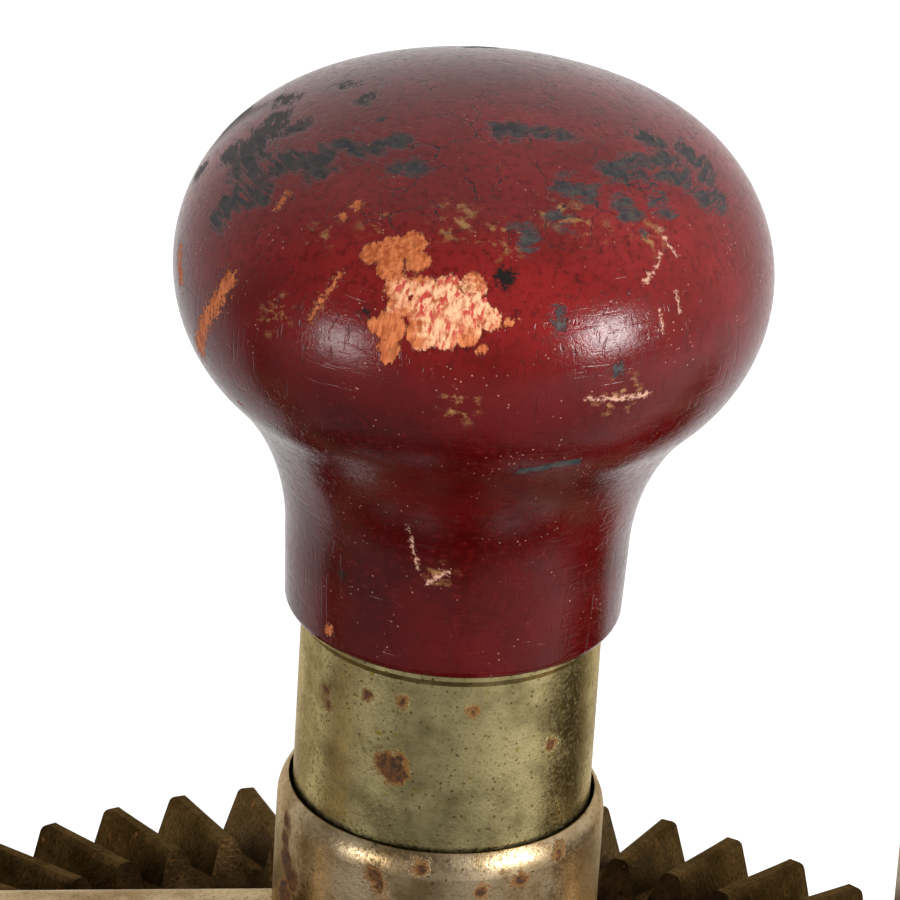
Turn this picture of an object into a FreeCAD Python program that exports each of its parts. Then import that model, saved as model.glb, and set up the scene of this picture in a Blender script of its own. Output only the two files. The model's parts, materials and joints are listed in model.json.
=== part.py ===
"""Hand-crank drill with a side knob: frame, bevel drive, crank, handles and a three-jaw chuck.

Millimetres. The spindle lies along X and the drive gear turns about Z, towards the side knob.
The origin is on the spindle axis, at the middle of the jaws' grip. Every sub-part is drawn about
the point where the gear axis crosses the spindle axis, and its Placement carries it to its place.
"""
import FreeCAD, Part
import math
import os
import re

import Sketcher

# Driving dimensions, in millimetres, degrees or counts
SIZES = {
    # Bevel drive
    "gear_teeth": 56,
    "pinion_teeth": 14,
    "gear_outer_r": 47.76,
    "gear_inner_r": 37.46,
    "gear_crest_outer_drop": 10.38,
    "gear_crest_inner_drop": 8.68,
    "gear_tooth_width": 2.2,
    "gear_dedendum": 2.45,
    "pinion_addendum": 2.05,
    "pinion_dedendum": 1.86,
    "pinion_root_width": 3.3,
    "pinion_tip_width": 0.95,
    "pinion_flank_r": 11.0,
    "pressure_angle": 20,
    "gear_tip_round": 0.7,
    "gear_tip_relief": 0.05,
    "gear_edge_round": 0.6,
    # Drive gear body
    "gear_rim_r": 35.4,
    "gear_rim_back_r": 46.9,
    "gear_rim_bottom_drop": 18.6,
    "gear_rim_step": 1.0,
    "gear_inner_slant": 0.9,
    "gear_web_top_drop": 14.4,
    "gear_web_bottom_drop": 17.6,
    "gear_hub_r": 12.0,
    "gear_hub_bottom_drop": 21.0,
    "gear_square": 14.0,
    "gear_square_length": 5.8,
    "gear_window_count": 6,
    "gear_spoke_width": 7.0,
    "gear_window_margin": 2.2,
    # Axle through the frame's boss
    "axle_r": 5.0,
    "stud_r": 4.5,
    "stud_top": 2.0,
    "gear_washer_thick": 0.95,
    "gear_washer_r": 10.5,
    "axle_washer_r": 11.5,
    "axle_washer_thick": 1.2,
    "axle_screw_r": 2.5,
    "axle_screw_depth": 13.0,
    "axle_screw_head_r": 6.0,
    "axle_screw_head": 3.4,
    "screw_slot_width": 1.4,
    "screw_slot_depth": 1.4,
    # Frame
    "boss_r": 11.0,
    "boss_top": 16.6,
    "boss_drop": 8.0,
    "cup_r": 10.3,
    "cup_depth": 4.6,
    "lip_rise": 1.7,
    "lip_land": 0.1,
    "shank_r": 7.0,
    "shank_length": 52.0,
    "collar_r": 10.9,
    "collar_length": 4.0,
    "collar_round": 1.5,
    "tang_r": 5.0,
    "tang_length": 58.0,
    "bar_r": 5.7,
    "yoke_wall": 3.1,
    "yoke_slant": 2.4,
    "yoke_arm": 5.2,
    "yoke_thick": 11.0,
    "yoke_taper": 5.0,
    "yoke_corner_r": 5.0,
    "yoke_edge_r": 0.9,
    "window_side_gap": 0.61,
    "window_corner_r": 2.5,
    "nose_boss_r": 9.0,
    "nose_boss_length": 11.0,
    "bearing_depth": 18.0,
    # Spindle and its thrust bearing
    "spindle_r": 4.0,
    "spindle_top_gap": 0.5,
    "pinion_hub_r": 9.0,
    "pinion_hub_length": 8.94,
    "pinion_back_step": 0.6,
    "pinion_back_drop": 1.6,
    "pinion_front_hub": 0.66,
    "pinion_front_hub_r": 6.4,
    "pinion_pin_r": 1.25,
    "pinion_pin_back": 4.5,
    "pinion_pin_sink": 0.2,
    "race_r": 9.0,
    "race_thick": 1.6,
    "race_gap": 1.8,
    "ball_r": 1.5,
    "ball_track_r": 6.7,
    "ball_count": 10,
    # Chuck
    "chuck_hub_r": 11.0,
    "chuck_hub_length": 4.0,
    "chuck_flange_r": 14.5,
    "chuck_flange_length": 3.8,
    "chuck_land_r": 13.5,
    "chuck_land_length": 9.2,
    "nut_length": 6.0,
    "nut_groove_r": 9.4,
    "nut_end_gap": 0.15,
    "chuck_front_land": 8.0,
    "chuck_cone_length": 8.7,
    "chuck_nose_r": 8.0,
    "chuck_socket_depth": 13.0,
    "shank_hole_r": 3.4,
    "shank_hole_depth": 21.0,
    "sleeve_wall": 2.0,
    "sleeve_chamfer": 1.2,
    "sleeve_front_inset": 0.4,
    "jaw_r": 2.45,
    "jaw_slope_angle": 14.04,
    "jaw_nose_offset": 3.3,
    "jaw_tip_out": 1.5,
    "jaw_length": 29.4,
    "jaw_bore_length": 36.0,
    "jaw_edge_offset": 1.55,
    "jaw_count": 3,
    "grip_r": 3.0,
    "grip_length": 8.0,
    # Main handle, measured back from its ferrule's front end
    "handle_ferrule_r": 11.3,
    "handle_ferrule_length": 16.0,
    "handle_foot_r": 12.2,
    "handle_neck_r": 11.2,
    "handle_neck_arc": 160.0,
    "handle_head_r": 16.5,
    "handle_shoulder_arc": 12.0,
    "handle_crown_arc": 24.0,
    "handle_head_rise": 112.0,
    "handle_pin_r": 1.2,
    "handle_pin_back": 8.0,
    # Side knob, rising from its ferrule's top
    "knob_ferrule_r": 10.0,
    "knob_ferrule_height": 17.9,
    "knob_rim_r": 10.3,
    "knob_rim_height": 0.5,
    "knob_foot_r": 11.15,
    "knob_neck_r": 11.37,
    "knob_neck_arc": 16.8,
    "knob_head_r": 19.5,
    "knob_shoulder_arc": 10.82,
    "knob_crown_arc": 30.5,
    "knob_head_rise": 24.55,
    "knob_stud_bottom": 2.5,
    "knob_stud_rise": 24.0,
    "ferrule_wall": 0.7,
    "tenon_end_gap": 0.3,
    "foot_round": 0.7,
    # Crank
    "crank_throw": 76.0,
    "crank_thick": 5.4,
    "crank_eye_r": 13.2,
    "crank_end_r": 7.5,
    "crank_edge_r": 1.2,
    "set_screw_r": 2.0,
    "set_screw_length": 5.8,
    "crank_pin_r": 3.0,
    "crank_pin_head_r": 5.0,
    "crank_pin_head": 2.2,
    "crank_pin_sink": 0.6,
    "crank_washer_r": 7.0,
    "crank_washer_thick": 1.0,
    "crank_foot_r": 8.4,
    "crank_neck_r": 8.0,
    "crank_neck_arc": 15.0,
    "crank_head_r": 12.5,
    "crank_shoulder_arc": 8.0,
    "crank_crown_arc": 20.0,
    "crank_head_rise": 23.0,
    # Clearances, and how far a cut runs past what it cuts
    "running_fit": 0.05,
    "push_fit": 0.02,
    "end_float": 0.3,
    "knob_float": 0.3,
    "cut_overrun": 1.5,
}

# Places and sizes that follow from the driving dimensions
DERIVED = {
    "pitch_drop": "gear_outer_r * pinion_teeth / gear_teeth",
    "tooth_scale": "gear_inner_r / gear_outer_r",
    "crest_slope": "(gear_crest_outer_drop - gear_crest_inner_drop) / (gear_outer_r - gear_inner_r)",
    "root_inner_drop": "(pitch_drop + gear_dedendum) * tooth_scale",
    "pinion_tip_r": "pitch_drop + pinion_addendum",
    "window_start": "gear_inner_r - pinion_front_hub - end_float",
    "window_end": "gear_outer_r + pinion_hub_length + end_float",
    "window_half_width": "pinion_tip_r + window_side_gap",
    "yoke_start": "window_start - yoke_wall",
    "yoke_half_width": "window_half_width + yoke_arm",
    "nose_boss_end": "window_end + nose_boss_length",
    "race_track_x": "nose_boss_end + race_thick + race_gap / 2",
    "chuck_rear": "nose_boss_end + 2 * race_thick + race_gap",
    "chuck_flange_front": "chuck_rear + chuck_hub_length + chuck_flange_length",
    "nut_start": "chuck_flange_front + chuck_land_length",
    "nut_groove_end": "nut_start + nut_length + 2 * nut_end_gap",
    "chuck_cone_start": "nut_groove_end + chuck_front_land",
    "chuck_nose": "chuck_cone_start + chuck_cone_length",
    "grip_x": "chuck_nose + jaw_tip_out - grip_length / 2",
    "sleeve_bore_r": "chuck_land_r + running_fit",
    "handle_front": "shank_length + collar_length",
    "handle_foot": "handle_front + handle_ferrule_length",
    "cup_floor": "boss_top - cup_depth",
    "lip_width": "boss_r - cup_r - lip_land",
    "lip_arc": "(lip_rise^2 + lip_width^2) / (2 * lip_width)",
    "knob_foot": "cup_floor + knob_ferrule_height",
    "hub_top_drop": "boss_drop + gear_washer_thick + running_fit",
    "square_bottom_drop": "gear_hub_bottom_drop + gear_square_length",
    "stud_bottom_drop": "square_bottom_drop + end_float",
    "crank_bottom_drop": "gear_hub_bottom_drop + crank_thick",
    "crank_foot_drop": "crank_bottom_drop + crank_washer_thick + knob_float",
    "crank_top": "crank_head_rise + crank_crown_arc"
                 " - sqrt((crank_crown_arc - crank_shoulder_arc)^2 - (crank_head_r - crank_shoulder_arc)^2)",
    "crank_head_floor": "crank_top - crank_pin_sink - crank_pin_head - knob_float",
}

os.makedirs("parts", exist_ok=True)
doc = FreeCAD.newDocument("hand_drill")
dims = doc.addObject("Spreadsheet::Sheet", "dims")
for row, (alias, size) in enumerate(SIZES.items(), start=1):
    dims.set(f"A{row}", alias)
    dims.set(f"B{row}", str(size))
    dims.setAlias(f"B{row}", alias)
doc.recompute()

# Lengths, areas and volumes closer than this are the same
NEAR = 1e-4

SIZE_NAME = re.compile(r"\b(" + "|".join(SIZES) + r")\b")
DERIVED_NAME = re.compile(r"\b(" + "|".join(DERIVED) + r")\b")


def bound(text):
    """The expression with derived names written out and every size read from the sheet."""
    while DERIVED_NAME.search(text):
        text = DERIVED_NAME.sub(lambda found: f"({DERIVED[found.group(1)]})", text)
    return SIZE_NAME.sub(r"dims.\1", text)


def number(text):
    """The expression's present value."""
    return float(dims.evalExpression(bound(text)))


# Bodies, sketches and features
def new_body(label, turn=None, shift=("0", "0", "0")):
    """A body drawn about the gear and spindle crossing, turned and shifted to its place."""
    body = doc.addObject("PartDesign::Body", label)
    body.Label = label
    if turn:
        axis, angle = turn
        rotation = FreeCAD.Rotation(FreeCAD.Vector(*axis), number(angle))
        body.Placement = FreeCAD.Placement(FreeCAD.Vector(), rotation)
        body.setExpression("Placement.Rotation.Angle", bound(angle))
    x, y, z = shift
    body.setExpression("Placement.Base.x", bound(f"{x} - grip_x"))
    body.setExpression("Placement.Base.y", bound(y))
    body.setExpression("Placement.Base.z", bound(z))
    return body


def plane(body, role):
    return next(item for item in body.Origin.OriginFeatures if item.Role == role)


def new_sketch(body, name, role, offset="0"):
    """A sketch on one of the body's own planes, moved along that plane's normal."""
    sketch = body.newObject("Sketcher::SketchObject", f"{body.Name}_{name}")
    sketch.AttachmentSupport = [(plane(body, role), "")]
    sketch.MapMode = "FlatFace"
    sketch.setExpression("AttachmentOffset.Base.z", bound(offset))
    return sketch


def hold(sketch, edge, end, x, y):
    """Ties one end of an edge to its place, measured from the sketch's origin."""
    for kind, axis, text in (("DistanceX", -2, x), ("DistanceY", -1, y)):
        if text == "0":
            sketch.addConstraint(Sketcher.Constraint("PointOnObject", edge, end, axis))
        else:
            rule = sketch.addConstraint(Sketcher.Constraint(kind, -1, 1, edge, end, number(text)))
            sketch.setExpression(f"Constraints[{rule}]", bound(text))


def arc_between(start, end, radius, bulge):
    """The shorter arc of a radius from start to end, bulging to the left (1) or right (-1) of the way.

    A sketch's arcs run anticlockwise, so one that bulges left is drawn from its end to its start.
    """
    chord = end - start
    left = FreeCAD.Vector(-chord.y, chord.x, 0).normalize()
    inset = math.sqrt(radius ** 2 - (chord.Length / 2) ** 2)
    centre = (start + end) / 2 - left * bulge * inset
    first, last = (end, start) if bulge > 0 else (start, end)
    from_angle = math.atan2(first.y - centre.y, first.x - centre.x)
    to_angle = math.atan2(last.y - centre.y, last.x - centre.x)
    if to_angle < from_angle:
        to_angle += 2 * math.pi
    return Part.ArcOfCircle(Part.Circle(centre, FreeCAD.Vector(0, 0, 1), radius), from_angle, to_angle)


def outline(sketch, corners):
    """A closed outline through corners (x, y), or (x, y, radius, bulge) where an arc leads to the next."""
    first = len(sketch.Geometry)
    spots = [FreeCAD.Vector(number(corner[0]), number(corner[1]), 0) for corner in corners]
    count = len(corners)
    ends = []
    for index, corner in enumerate(corners):
        start, end = spots[index], spots[(index + 1) % count]
        if len(corner) == 2:
            sketch.addGeometry(Part.LineSegment(start, end), False)
            ends.append((1, 2))
        else:
            sketch.addGeometry(arc_between(start, end, number(corner[2]), corner[3]), False)
            ends.append((2, 1) if corner[3] > 0 else (1, 2))
    for index, corner in enumerate(corners):
        edge, after = first + index, (index + 1) % count
        sketch.addConstraint(
            Sketcher.Constraint("Coincident", edge, ends[index][1], first + after, ends[after][0]))
        hold(sketch, edge, ends[index][0], corner[0], corner[1])
        if len(corner) == 4:
            rule = sketch.addConstraint(Sketcher.Constraint("Radius", edge, number(corner[2])))
            sketch.setExpression(f"Constraints[{rule}]", bound(corner[2]))
    return sketch


def circle(sketch, x, y, radius):
    centre = FreeCAD.Vector(number(x), number(y), 0)
    edge = sketch.addGeometry(Part.Circle(centre, FreeCAD.Vector(0, 0, 1), number(radius)), False)
    hold(sketch, edge, 3, x, y)
    rule = sketch.addConstraint(Sketcher.Constraint("Radius", edge, number(radius)))
    sketch.setExpression(f"Constraints[{rule}]", bound(radius))
    return sketch


def revolve(body, sketch, axis):
    turned = body.newObject("PartDesign::Revolution", f"{sketch.Name}_turned")
    turned.Profile = sketch
    turned.ReferenceAxis = (sketch, [axis])
    turned.Angle = 360
    return turned


def turned_about_z(body, name, corners):
    """A solid of revolution about Z, from an outline of (radius, height) corners."""
    return revolve(body, outline(new_sketch(body, name, "XZ_Plane"), corners), "V_Axis")


def turned_about_x(body, name, corners):
    """A solid of revolution about X, from an outline of (length, radius) corners."""
    return revolve(body, outline(new_sketch(body, name, "XY_Plane"), corners), "H_Axis")


def pad(body, sketch, length, reverse=False, both_ways=False):
    raised = body.newObject("PartDesign::Pad", f"{sketch.Name}_pad")
    raised.Profile = sketch
    raised.setExpression("Length", bound(length))
    raised.Midplane = both_ways
    raised.Reversed = reverse
    return raised


def pocket(body, sketch, length, both_ways=False):
    """Cuts along the sketch's normal, or evenly to both sides of it."""
    base = body.Tip
    cut = body.newObject("PartDesign::Pocket", f"{sketch.Name}_cut")
    cut.Profile = sketch
    cut.setExpression("Length", bound(length))
    cut.Midplane = both_ways
    cut.Reversed = not both_ways
    doc.recompute()
    if cut.Shape.Volume > base.Shape.Volume - NEAR:
        raise RuntimeError(f"{cut.Name} removes nothing")
    return cut


def polar_pattern(body, feature, axis_role, count):
    ring = body.newObject("PartDesign::PolarPattern", f"{feature.Name}_ring")
    ring.Originals = [feature]
    ring.Axis = (plane(body, axis_role), [""])
    ring.Angle = 360
    ring.setExpression("Occurrences", bound(count))
    body.Tip = ring
    return ring


def edges_where(feature, test):
    return [f"Edge{index}" for index, edge in enumerate(feature.Shape.Edges, start=1) if test(edge)]


def round_edges(body, radius, test):
    """Rounds the edges of the body's last feature that pass the test."""
    doc.recompute()
    base = body.Tip
    found = edges_where(base, test)
    if not found:
        raise RuntimeError(f"{body.Name} has no edge to round")
    rounded = body.newObject("PartDesign::Fillet", f"{base.Name}_round")
    rounded.Base = (base, found)
    rounded.setExpression("Radius", bound(radius))
    return rounded


def is_ring(edge, radius, axis, place):
    """True for a full circle of a radius about an axis (a unit vector), at a place along it."""
    if edge.Degenerated or not isinstance(edge.Curve, Part.Circle):
        return False
    near = abs(edge.Curve.Radius - number(radius)) < NEAR
    return near and abs(edge.Curve.Center.dot(axis) - number(place)) < NEAR


def along(edge, axis):
    """True for a straight edge along an axis."""
    if edge.Degenerated or not isinstance(edge.Curve, Part.Line):
        return False
    return abs(abs(edge.Curve.Direction.dot(axis)) - 1) < NEAR


X_WAY = FreeCAD.Vector(1, 0, 0)
Z_WAY = FreeCAD.Vector(0, 0, 1)
PINION_TURN = ((1, 0, 0), "180 / pinion_teeth")
PINION_PIN_X = "window_end - end_float - pinion_pin_back"
SET_SCREW_Z = "-gear_hub_bottom_drop - crank_thick / 2"
HANDLE_PIN_X = "-handle_front - handle_pin_back"
# How far a pinion tooth space is drawn past the tips, as a share of their radius
SPACE_REACH = 1.25


def cross_hole(body):
    """The hole for the pinion's pin, across the body's X axis."""
    sketch = circle(new_sketch(body, "pin_hole", "XY_Plane"), PINION_PIN_X, "0", "pinion_pin_r + push_fit")
    return pocket(body, sketch, "2 * (pinion_hub_r + cut_overrun)", both_ways=True)


def turned_grip(body, kind, tenon):
    """A turned wooden grip about Z: neck, hollow, rounded head and crown, on tenon corners below its foot.

    The tenon lists (radius, height) corners from the foot's inner edge down, in and up to the axis.
    """
    sketch = new_sketch(body, "profile", "XZ_Plane")
    head, shoulder = number(f"{kind}_head_r"), number(f"{kind}_shoulder_arc")
    crown, hollow = number(f"{kind}_crown_arc"), number(f"{kind}_neck_arc")
    neck, foot = number(f"{kind}_neck_r"), number(f"{kind}_foot_r")
    rise = number(f"{kind}_head_rise")
    shoulder_x = head - shoulder
    hollow_x = neck + hollow
    hollow_z = rise - math.sqrt((shoulder + hollow) ** 2 - (hollow_x - shoulder_x) ** 2)
    crown_z = rise - math.sqrt((crown - shoulder) ** 2 - shoulder_x ** 2)
    lean = math.atan2(rise - crown_z, shoulder_x)
    dip = math.atan2(rise - hollow_z, hollow_x - shoulder_x)

    def ring(x, z, radius):
        return Part.Circle(FreeCAD.Vector(x, z, 0), FreeCAD.Vector(0, 0, 1), radius)

    crown_edge = sketch.addGeometry(Part.ArcOfCircle(ring(0, crown_z, crown), lean, math.pi / 2), False)
    head_edge = sketch.addGeometry(Part.ArcOfCircle(ring(shoulder_x, rise, shoulder), -dip, lean), False)
    hollow_edge = sketch.addGeometry(
        Part.ArcOfCircle(ring(hollow_x, hollow_z, hollow), math.pi - dip, math.pi), False)
    neck_edge = sketch.addGeometry(
        Part.LineSegment(FreeCAD.Vector(neck, hollow_z, 0), FreeCAD.Vector(foot, 0, 0)), False)
    rules = [
        Sketcher.Constraint("Tangent", crown_edge, 1, head_edge, 2),
        Sketcher.Constraint("Tangent", head_edge, 1, hollow_edge, 1),
        Sketcher.Constraint("Coincident", hollow_edge, 2, neck_edge, 1),
        Sketcher.Constraint("PointOnObject", crown_edge, 3, -2),
        Sketcher.Constraint("PointOnObject", crown_edge, 2, -2),
        Sketcher.Constraint("Horizontal", hollow_edge, 3, hollow_edge, 2),
    ]
    for rule in rules:
        sketch.addConstraint(rule)
    for edge, size in ((crown_edge, "crown_arc"), (head_edge, "shoulder_arc"), (hollow_edge, "neck_arc")):
        rule = sketch.addConstraint(Sketcher.Constraint("Radius", edge, number(f"{kind}_{size}")))
        sketch.setExpression(f"Constraints[{rule}]", bound(f"{kind}_{size}"))
    hold(sketch, head_edge, 3, f"{kind}_head_r - {kind}_shoulder_arc", f"{kind}_head_rise")
    rule = sketch.addConstraint(Sketcher.Constraint("DistanceX", -1, 1, neck_edge, 1, neck))
    sketch.setExpression(f"Constraints[{rule}]", bound(f"{kind}_neck_r"))
    hold(sketch, neck_edge, 2, f"{kind}_foot_r", "0")

    last = neck_edge
    spots = [FreeCAD.Vector(foot, 0, 0)] + [FreeCAD.Vector(number(x), number(z), 0) for x, z in tenon]
    for start, end, corner in zip(spots, spots[1:], tenon):
        edge = sketch.addGeometry(Part.LineSegment(start, end), False)
        sketch.addConstraint(Sketcher.Constraint("Coincident", last, 2, edge, 1))
        hold(sketch, edge, 2, *corner)
        last = edge
    closing = sketch.addGeometry(Part.LineSegment(spots[-1], FreeCAD.Vector(0, crown_z + crown, 0)), False)
    sketch.addConstraint(Sketcher.Constraint("Coincident", last, 2, closing, 1))
    sketch.addConstraint(Sketcher.Constraint("Coincident", closing, 2, crown_edge, 2))
    return revolve(body, sketch, "V_Axis")


# Bevel drive
def drive_gear():
    """A spoked bevel gear whose tooth spaces all run to the crossing of the two axes."""
    body = new_body("drive_gear")
    turned_about_z(body, "blank", [
        ("axle_r + running_fit", "-hub_top_drop"),
        ("gear_hub_r", "-hub_top_drop"),
        ("gear_hub_r", "-gear_web_top_drop"),
        ("gear_rim_r", "-gear_web_top_drop"),
        ("gear_rim_r", "-root_inner_drop - gear_rim_step"),
        ("gear_inner_r - gear_inner_slant", "-root_inner_drop"),
        ("gear_inner_r", "-gear_crest_inner_drop"),
        ("gear_outer_r - gear_edge_round", "-gear_crest_outer_drop + gear_edge_round * crest_slope",
         "gear_edge_round", 1),
        ("gear_outer_r", "-gear_crest_outer_drop - gear_edge_round"),
        ("gear_rim_back_r", "-gear_rim_bottom_drop"),
        ("gear_rim_r", "-gear_rim_bottom_drop"),
        ("gear_rim_r", "-gear_web_bottom_drop"),
        ("gear_hub_r", "-gear_web_bottom_drop"),
        ("gear_hub_r", "-gear_hub_bottom_drop"),
        ("axle_r + running_fit", "-gear_hub_bottom_drop"),
    ])

    square = new_sketch(body, "square", "XY_Plane", "-gear_hub_bottom_drop")
    half = "gear_square / 2"
    outline(square, [(f"-{half}", f"-{half}"), (half, f"-{half}"), (half, half), (f"-{half}", half)])
    circle(square, "0", "0", "axle_r + running_fit")
    pad(body, square, "gear_square_length", reverse=True)

    window = new_sketch(body, "window", "XY_Plane", "-gear_web_bottom_drop - cut_overrun")
    inner, outer = "gear_hub_r + gear_window_margin", "gear_rim_r - gear_window_margin"
    half_spoke = "gear_spoke_width / 2"
    half_turn = "180 deg / gear_window_count"
    sides = []
    for radius in (inner, outer):
        swing = f"({half_turn} - asin({half_spoke} / ({radius})))"
        sides.append((f"({radius}) * cos{swing}", f"({radius}) * sin{swing}"))
    (near_x, near_y), (far_x, far_y) = sides
    outline(window, [
        (near_x, near_y, inner, 1),
        (near_x, f"-{near_y}"),
        (far_x, f"-{far_y}", outer, -1),
        (far_x, far_y),
    ])
    opening = pocket(body, window, "gear_web_bottom_drop - gear_web_top_drop + 2 * cut_overrun")
    polar_pattern(body, opening, "Z_Axis", "gear_window_count")

    def space(name, x):
        """One tooth space across the X axis, at a distance x from the crossing.

        Its sides lean at the pressure angle and turn over the teeth's rounded tips. The rounds end a
        little above the crest, so that they cut it at an angle.
        """
        share = f"(({x}) / gear_outer_r)"
        lean = "(pressure_angle * 1 deg)"
        half = f"((pi * gear_outer_r / gear_teeth - gear_tooth_width / 2) * {share})"
        crest = f"(-gear_crest_outer_drop - (({x}) - gear_outer_r) * crest_slope + gear_tip_relief)"
        root = f"(-(pitch_drop + gear_dedendum) * {share})"
        root_half = f"({half} - gear_dedendum * {share} * tan{lean})"
        crest_half = f"({half} + ({crest} + pitch_drop * {share}) * tan{lean})"
        turn = f"(gear_tip_round * tan(45 deg - {lean} / 2))"
        flank_half, flank_top = f"({crest_half} - {turn} * sin{lean})", f"{crest} - {turn} * cos{lean}"
        tip_half, above = f"({crest_half} + {turn})", f"{crest} + cut_overrun"
        return outline(new_sketch(body, name, "YZ_Plane", x), [
            (f"-{tip_half}", above),
            (f"-{tip_half}", crest, "gear_tip_round", 1),
            (f"-{flank_half}", flank_top),
            (f"-{root_half}", root),
            (root_half, root),
            (flank_half, flank_top, "gear_tip_round", 1),
            (tip_half, crest),
            (tip_half, above),
        ])

    doc.recompute()
    cut = body.newObject("PartDesign::SubtractiveLoft", "gear_tooth_space")
    cut.Profile = space("space_outer", "gear_outer_r + cut_overrun")
    cut.Sections = [space("space_inner", "gear_rim_r - cut_overrun")]
    cut.Ruled = True
    polar_pattern(body, cut, "Z_Axis", "gear_teeth")
    return body


def pinion():
    """The small bevel gear on the spindle, turned half a tooth so that a tooth meets the gear's space."""
    body = new_body("pinion", turn=PINION_TURN)
    bore = "spindle_r + push_fit"
    turned_about_x(body, "blank", [
        ("window_start + end_float", bore),
        ("window_start + end_float", "pinion_front_hub_r"),
        ("gear_inner_r", "pinion_front_hub_r"),
        ("gear_inner_r", "pinion_tip_r * tooth_scale"),
        ("gear_outer_r", "pinion_tip_r"),
        ("gear_outer_r + pinion_back_step", "pinion_tip_r - pinion_back_drop"),
        ("gear_outer_r + pinion_back_step", "pinion_hub_r"),
        ("window_end - end_float", "pinion_hub_r"),
        ("window_end - end_float", bore),
    ])
    cross_hole(body)

    def space(name, x):
        """One tooth space across +Z, between two convex flanks, at a distance x from the crossing."""
        share = f"(({x}) / gear_outer_r)"
        half = "(180 deg / pinion_teeth)"
        corners = []
        for radius, width in (("pinion_tip_r", "pinion_tip_width"),
                              ("(pitch_drop - pinion_dedendum)", "pinion_root_width")):
            swing = f"({half} - asin({width} / 2 / {radius}))"
            corners.append((f"{radius} * sin{swing} * {share}", f"{radius} * cos{swing} * {share}"))
        (tip_y, tip_z), (root_y, root_z) = corners
        flank = f"pinion_flank_r * {share}"
        return outline(new_sketch(body, name, "YZ_Plane", x), [
            (f"-{SPACE_REACH} * {tip_y}", f"{SPACE_REACH} * {tip_z}"),
            (f"-{tip_y}", tip_z, flank, 1),
            (f"-{root_y}", root_z),
            (root_y, root_z, flank, 1),
            (tip_y, tip_z),
            (f"{SPACE_REACH} * {tip_y}", f"{SPACE_REACH} * {tip_z}"),
        ])

    doc.recompute()
    cut = body.newObject("PartDesign::SubtractiveLoft", "pinion_tooth_space")
    cut.Profile = space("space_outer", "gear_outer_r + cut_overrun")
    cut.Sections = [space("space_inner", "gear_inner_r - cut_overrun / 2")]
    cut.Ruled = True
    polar_pattern(body, cut, "X_Axis", "pinion_teeth")
    return body


# Frame and what is fixed to it
def frame():
    """The casting: cup boss, round bar with a tang for the handle, yoke round the pinion, nose bearing."""
    body = new_body("frame")
    yoke = new_sketch(body, "yoke", "XY_Plane")
    outline(yoke, [
        ("yoke_start", "-bar_r"),
        ("yoke_start + yoke_slant", "-yoke_half_width"),
        ("window_end", "-yoke_half_width"),
        ("window_end + yoke_taper", "-nose_boss_r"),
        ("window_end + yoke_taper", "nose_boss_r"),
        ("window_end", "yoke_half_width"),
        ("yoke_start + yoke_slant", "yoke_half_width"),
        ("yoke_start", "bar_r"),
    ])
    outline(yoke, [
        ("window_start", "-window_half_width"),
        ("window_end", "-window_half_width"),
        ("window_end", "window_half_width"),
        ("window_start", "window_half_width"),
    ])
    pad(body, yoke, "yoke_thick", both_ways=True)

    def upright_at(width):
        return lambda edge: along(edge, Z_WAY) and abs(abs(edge.Vertexes[0].Y) - number(width)) < NEAR

    round_edges(body, "yoke_corner_r", upright_at("yoke_half_width"))
    round_edges(body, "window_corner_r", upright_at("window_half_width"))
    round_edges(body, "yoke_edge_r", lambda edge: not along(edge, Z_WAY))
    turned_about_x(body, "bar", [
        ("-handle_front - tang_length", "0"),
        ("-handle_front - tang_length", "tang_r"),
        ("-handle_front", "tang_r"),
        ("-handle_front", "collar_r"),
        ("-shank_length", "collar_r"),
        ("-shank_length", "shank_r"),
        ("0", "shank_r"),
        ("0", "bar_r"),
        ("window_start", "bar_r"),
        ("window_start", "0"),
    ])
    turned_about_x(body, "nose", [
        ("window_end", "0"),
        ("window_end", "nose_boss_r"),
        ("nose_boss_end", "nose_boss_r"),
        ("nose_boss_end", "0"),
    ])
    turned_about_z(body, "boss", [
        ("0", "-boss_drop"),
        ("boss_r", "-boss_drop"),
        ("boss_r", "boss_top - lip_rise", "lip_arc", -1),
        ("cup_r + lip_land", "boss_top"),
        ("0", "boss_top"),
    ])
    cup = circle(new_sketch(body, "cup", "XY_Plane", "cup_floor"), "0", "0", "cup_r")
    pocket(body, cup, "cup_depth + cut_overrun")
    stud_hole = new_sketch(body, "stud_hole", "XY_Plane", "-boss_drop - cut_overrun")
    pocket(body, circle(stud_hole, "0", "0", "stud_r"), "boss_drop + boss_top + 2 * cut_overrun")
    spindle_hole = new_sketch(body, "spindle_hole", "YZ_Plane", "window_start - bearing_depth")
    circle(spindle_hole, "0", "0", "spindle_r + running_fit")
    pocket(body, spindle_hole, "nose_boss_end - window_start + bearing_depth + cut_overrun")
    pin_hole = circle(new_sketch(body, "pin_hole", "XZ_Plane"), HANDLE_PIN_X, "0", "handle_pin_r + push_fit")
    pocket(body, pin_hole, "2 * (tang_r + cut_overrun)", both_ways=True)
    round_edges(body, "collar_round",
                lambda edge: is_ring(edge, "collar_r", X_WAY, "-shank_length")
                or is_ring(edge, "nose_boss_r", X_WAY, "nose_boss_end"))
    return body


def gear_stud():
    body = new_body("gear_stud")
    fitted, hole = "stud_r - push_fit", "axle_screw_r + push_fit"
    floor = "-stud_bottom_drop + axle_screw_depth + end_float"
    turned_about_z(body, "profile", [
        ("0", "stud_top"),
        (fitted, "stud_top"),
        (fitted, "-boss_drop"),
        ("axle_r", "-boss_drop"),
        ("axle_r", "-stud_bottom_drop"),
        (hole, "-stud_bottom_drop"),
        (hole, floor),
        ("0", floor),
    ])
    return body


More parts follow.
